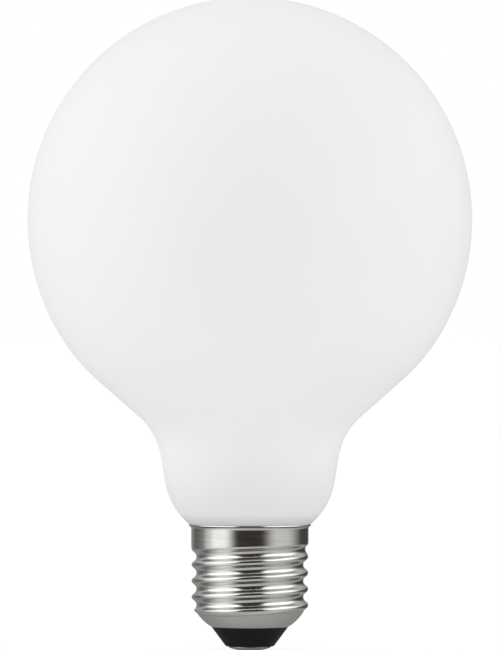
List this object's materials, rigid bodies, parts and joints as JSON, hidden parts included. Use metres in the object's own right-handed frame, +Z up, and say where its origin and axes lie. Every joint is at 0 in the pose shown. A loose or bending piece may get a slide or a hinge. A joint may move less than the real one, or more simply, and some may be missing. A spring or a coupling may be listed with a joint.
{
  "type": "globe bulb",
  "caption": "Opal white glass globe bulb with a tapered neck, on a nickel-plated screw cap with a rolled right-hand thread, a black insulator and a domed centre contact.",
  "frame": {"origin": "middle of the centre contact's face, the lowest point of the screw cap", "axes": "+Z up the bulb's axis, from the cap to the crown of the globe; X and Y are free turns about that axis"},
  "size_m": [0.1, 0.1, 0.1469],
  "materials": {
    "opal_glass": "opal white, satin matt",
    "nickel_plated_shell": "nickel plate, satin",
    "black_glass": "opaque black, moulded",
    "nickel_plated_contact": "nickel plate, matt"
  },
  "bodies": {
    "root": {"glass_globe": "opal_glass", "screw_shell": "nickel_plated_shell", "base_insulator": "black_glass", "centre_contact": "nickel_plated_contact"}
  },
  "joints": []
}
